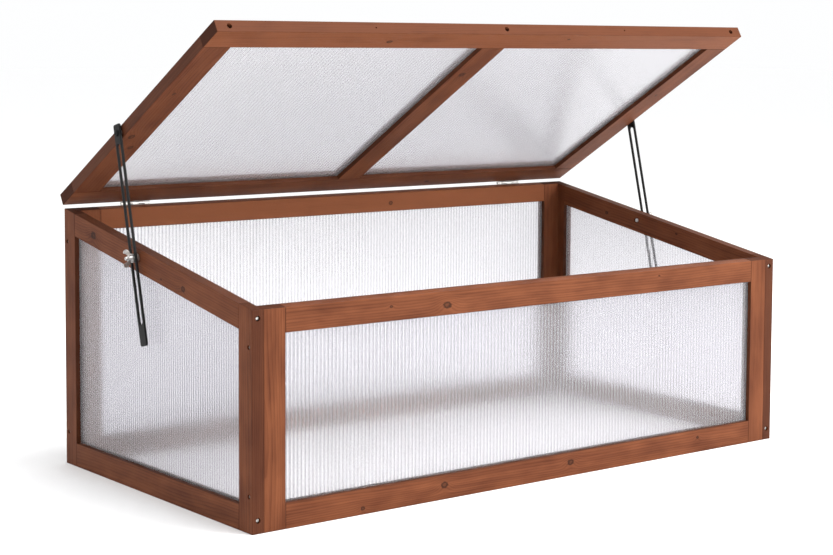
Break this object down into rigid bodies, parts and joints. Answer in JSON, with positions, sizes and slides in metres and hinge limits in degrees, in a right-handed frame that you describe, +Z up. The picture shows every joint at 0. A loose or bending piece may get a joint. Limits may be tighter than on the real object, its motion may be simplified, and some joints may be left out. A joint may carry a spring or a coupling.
{
  "type": "cold frame",
  "caption": "Low timber-framed cold frame with twin-wall sheet walls, a sloping top, and a hinged glazed lid held open by slotted stays with wing nuts.",
  "frame": {"origin": "middle of the walls' footprint, on the ground", "axes": "+X to the right along the width seen from the front, +Y to the hinged back, +Z up"},
  "size_m": [1.0438, 0.55, 0.6802],
  "materials": {
    "stained_wood": "semi-matt stain over fine lengthwise grain",
    "twin_wall_sheet": "clear twin-wall sheet with fine ribs",
    "zinc_plated_steel": "bright zinc plate",
    "black_steel": "black satin paint"
  },
  "bodies": {
    "walls": {"left_front_stile": "stained_wood", "left_rear_stile": "stained_wood", "left_top_rail": "stained_wood", "left_bottom_rail": "stained_wood", "right_front_stile": "stained_wood", "right_rear_stile": "stained_wood", "right_top_rail": "stained_wood", "right_bottom_rail": "stained_wood", "front_left_stile": "stained_wood", "front_right_stile": "stained_wood", "front_top_rail": "stained_wood", "front_bottom_rail": "stained_wood", "rear_left_stile": "stained_wood", "rear_right_stile": "stained_wood", "rear_top_rail": "stained_wood", "rear_bottom_rail": "stained_wood", "left_sheet": "twin_wall_sheet", "right_sheet": "twin_wall_sheet", "front_sheet": "twin_wall_sheet", "rear_sheet": "twin_wall_sheet", "left_frame_screws": "zinc_plated_steel", "right_frame_screws": "zinc_plated_steel", "front_frame_screws": "zinc_plated_steel", "rear_frame_screws": "zinc_plated_steel", "corner_screws": "zinc_plated_steel", "hinge_wall_screws": "zinc_plated_steel", "left_hinge_wall_leaf": "zinc_plated_steel", "left_hinge_pin": "zinc_plated_steel", "left_clamp_bolt": "zinc_plated_steel", "right_hinge_wall_leaf": "zinc_plated_steel", "right_hinge_pin": "zinc_plated_steel", "right_clamp_bolt": "zinc_plated_steel"},
    "lid": {"lid_front_rail": "stained_wood", "lid_rear_rail": "stained_wood", "lid_left_stile": "stained_wood", "lid_right_stile": "stained_wood", "lid_centre_bar": "stained_wood", "lid_left_sheet": "twin_wall_sheet", "lid_right_sheet": "twin_wall_sheet", "lid_frame_screws": "zinc_plated_steel", "lid_sheet_pins": "zinc_plated_steel", "hinge_lid_screws": "zinc_plated_steel", "left_hinge_lid_leaf": "zinc_plated_steel", "right_hinge_lid_leaf": "zinc_plated_steel"},
    "left_stay_swivel": {"left_stay_spacer": "zinc_plated_steel"},
    "left_stay_bar": {"left_stay": "black_steel", "left_stay_pivot_screw": "black_steel", "left_stay_pivot_washer": "zinc_plated_steel"},
    "left_clamp_washer": {"left_clamp_washer": "zinc_plated_steel"},
    "left_wing_nut": {"left_wing_nut": "zinc_plated_steel"},
    "right_stay_swivel": {"right_stay_spacer": "zinc_plated_steel"},
    "right_stay_bar": {"right_stay": "black_steel", "right_stay_pivot_screw": "black_steel", "right_stay_pivot_washer": "zinc_plated_steel"},
    "right_clamp_washer": {"right_clamp_washer": "zinc_plated_steel"},
    "right_wing_nut": {"right_wing_nut": "zinc_plated_steel"}
  },
  "joints": [
    {"name": "lid_hinge", "type": "hinge", "parent": "walls", "child": "lid", "pos_m": [0, 0.273, 0.39604], "axis": [-1, 0, 0], "range_deg": [-40, 24]},
    {"name": "left_stay_swing", "type": "hinge", "parent": "walls", "child": "left_stay_swivel", "pos_m": [-0.502, 0.04088, 0.33991], "axis": [-1, 0, 0], "range_deg": [-15, 9]},
    {"name": "left_stay_slide", "type": "slide", "parent": "left_stay_swivel", "child": "left_stay_bar", "axis": [0, 0.2437, 0.9699], "range_m": [-0.1535, 0.0925]},
    {"name": "left_clamp_washer_lift", "type": "slide", "parent": "walls", "child": "left_clamp_washer", "axis": [-1, 0, 0], "range_m": [0, 0.0017]},
    {"name": "left_wing_nut_turn", "type": "hinge", "parent": "left_clamp_washer", "child": "left_wing_nut", "pos_m": [-0.51, 0.04088, 0.33991], "axis": [-1, 0, 0], "range_deg": [0, 720]},
    {"name": "right_stay_swing", "type": "hinge", "parent": "walls", "child": "right_stay_swivel", "pos_m": [0.502, 0.04088, 0.33991], "axis": [-1, 0, 0], "range_deg": [-15, 9]},
    {"name": "right_stay_slide", "type": "slide", "parent": "right_stay_swivel", "child": "right_stay_bar", "axis": [0, 0.2437, 0.9699], "range_m": [-0.1535, 0.0925]},
    {"name": "right_clamp_washer_lift", "type": "slide", "parent": "walls", "child": "right_clamp_washer", "axis": [1, 0, 0], "range_m": [0, 0.0017]},
    {"name": "right_wing_nut_turn", "type": "hinge", "parent": "right_clamp_washer", "child": "right_wing_nut", "pos_m": [0.51, 0.04088, 0.33991], "axis": [1, 0, 0], "range_deg": [0, 720]}
  ],
  "couplings": [
    {"joint": "left_stay_swing", "follows": "lid_hinge", "ratio": 0.3703},
    {"joint": "left_stay_slide", "follows": "lid_hinge", "m_per_rad": 0.219},
    {"joint": "left_clamp_washer_lift", "follows": "left_wing_nut_turn", "m_per_rad": 0.00012732},
    {"joint": "right_stay_swing", "follows": "lid_hinge", "ratio": 0.3703},
    {"joint": "right_stay_slide", "follows": "lid_hinge", "m_per_rad": 0.219},
    {"joint": "right_clamp_washer_lift", "follows": "right_wing_nut_turn", "m_per_rad": 0.00012732}
  ]
}
